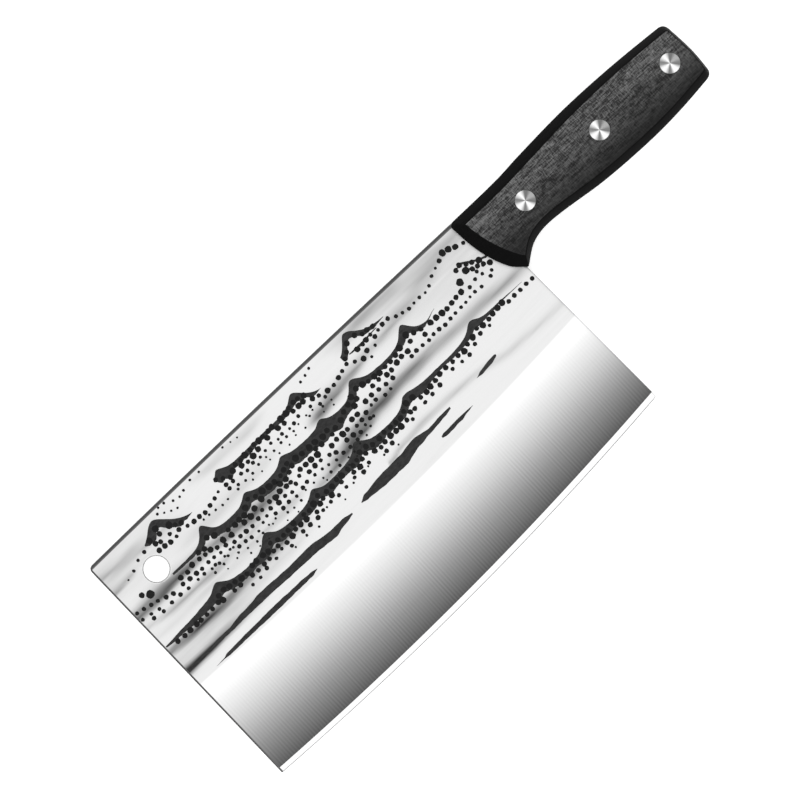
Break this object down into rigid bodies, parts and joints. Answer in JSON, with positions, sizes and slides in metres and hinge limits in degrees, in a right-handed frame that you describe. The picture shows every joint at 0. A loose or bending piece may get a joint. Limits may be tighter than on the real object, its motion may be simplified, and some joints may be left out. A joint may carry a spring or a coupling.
{
  "type": "meat cleaver",
  "caption": "Broad rectangular cleaver with a full tang, a hanging hole near the toe and chamfered dark scales held by flush cutler's rivets.",
  "frame": {"origin": "centre of the hanging hole, halfway through the blade's thickness", "axes": "+X from the toe of the blade to the butt of the handle, +Y from the cutting edge to the spine, +Z square out of the blade's side"},
  "size_m": [0.3019, 0.1105, 0.0186],
  "materials": {
    "blade_steel": "satin flats with a black forged pattern, cross-ground taper, bright sharpened edge",
    "handle_wood": "black dyed laminated wood, satin, with fine lengthwise grain",
    "rivet_steel": "turned bright, flush with the scales"
  },
  "bodies": {
    "root": {"blade": "blade_steel", "scale_near": "handle_wood", "scale_far": "handle_wood", "rivet_socket_1": "rivet_steel", "rivet_pin_1": "rivet_steel", "rivet_socket_2": "rivet_steel", "rivet_pin_2": "rivet_steel", "rivet_socket_3": "rivet_steel", "rivet_pin_3": "rivet_steel"}
  },
  "joints": []
}
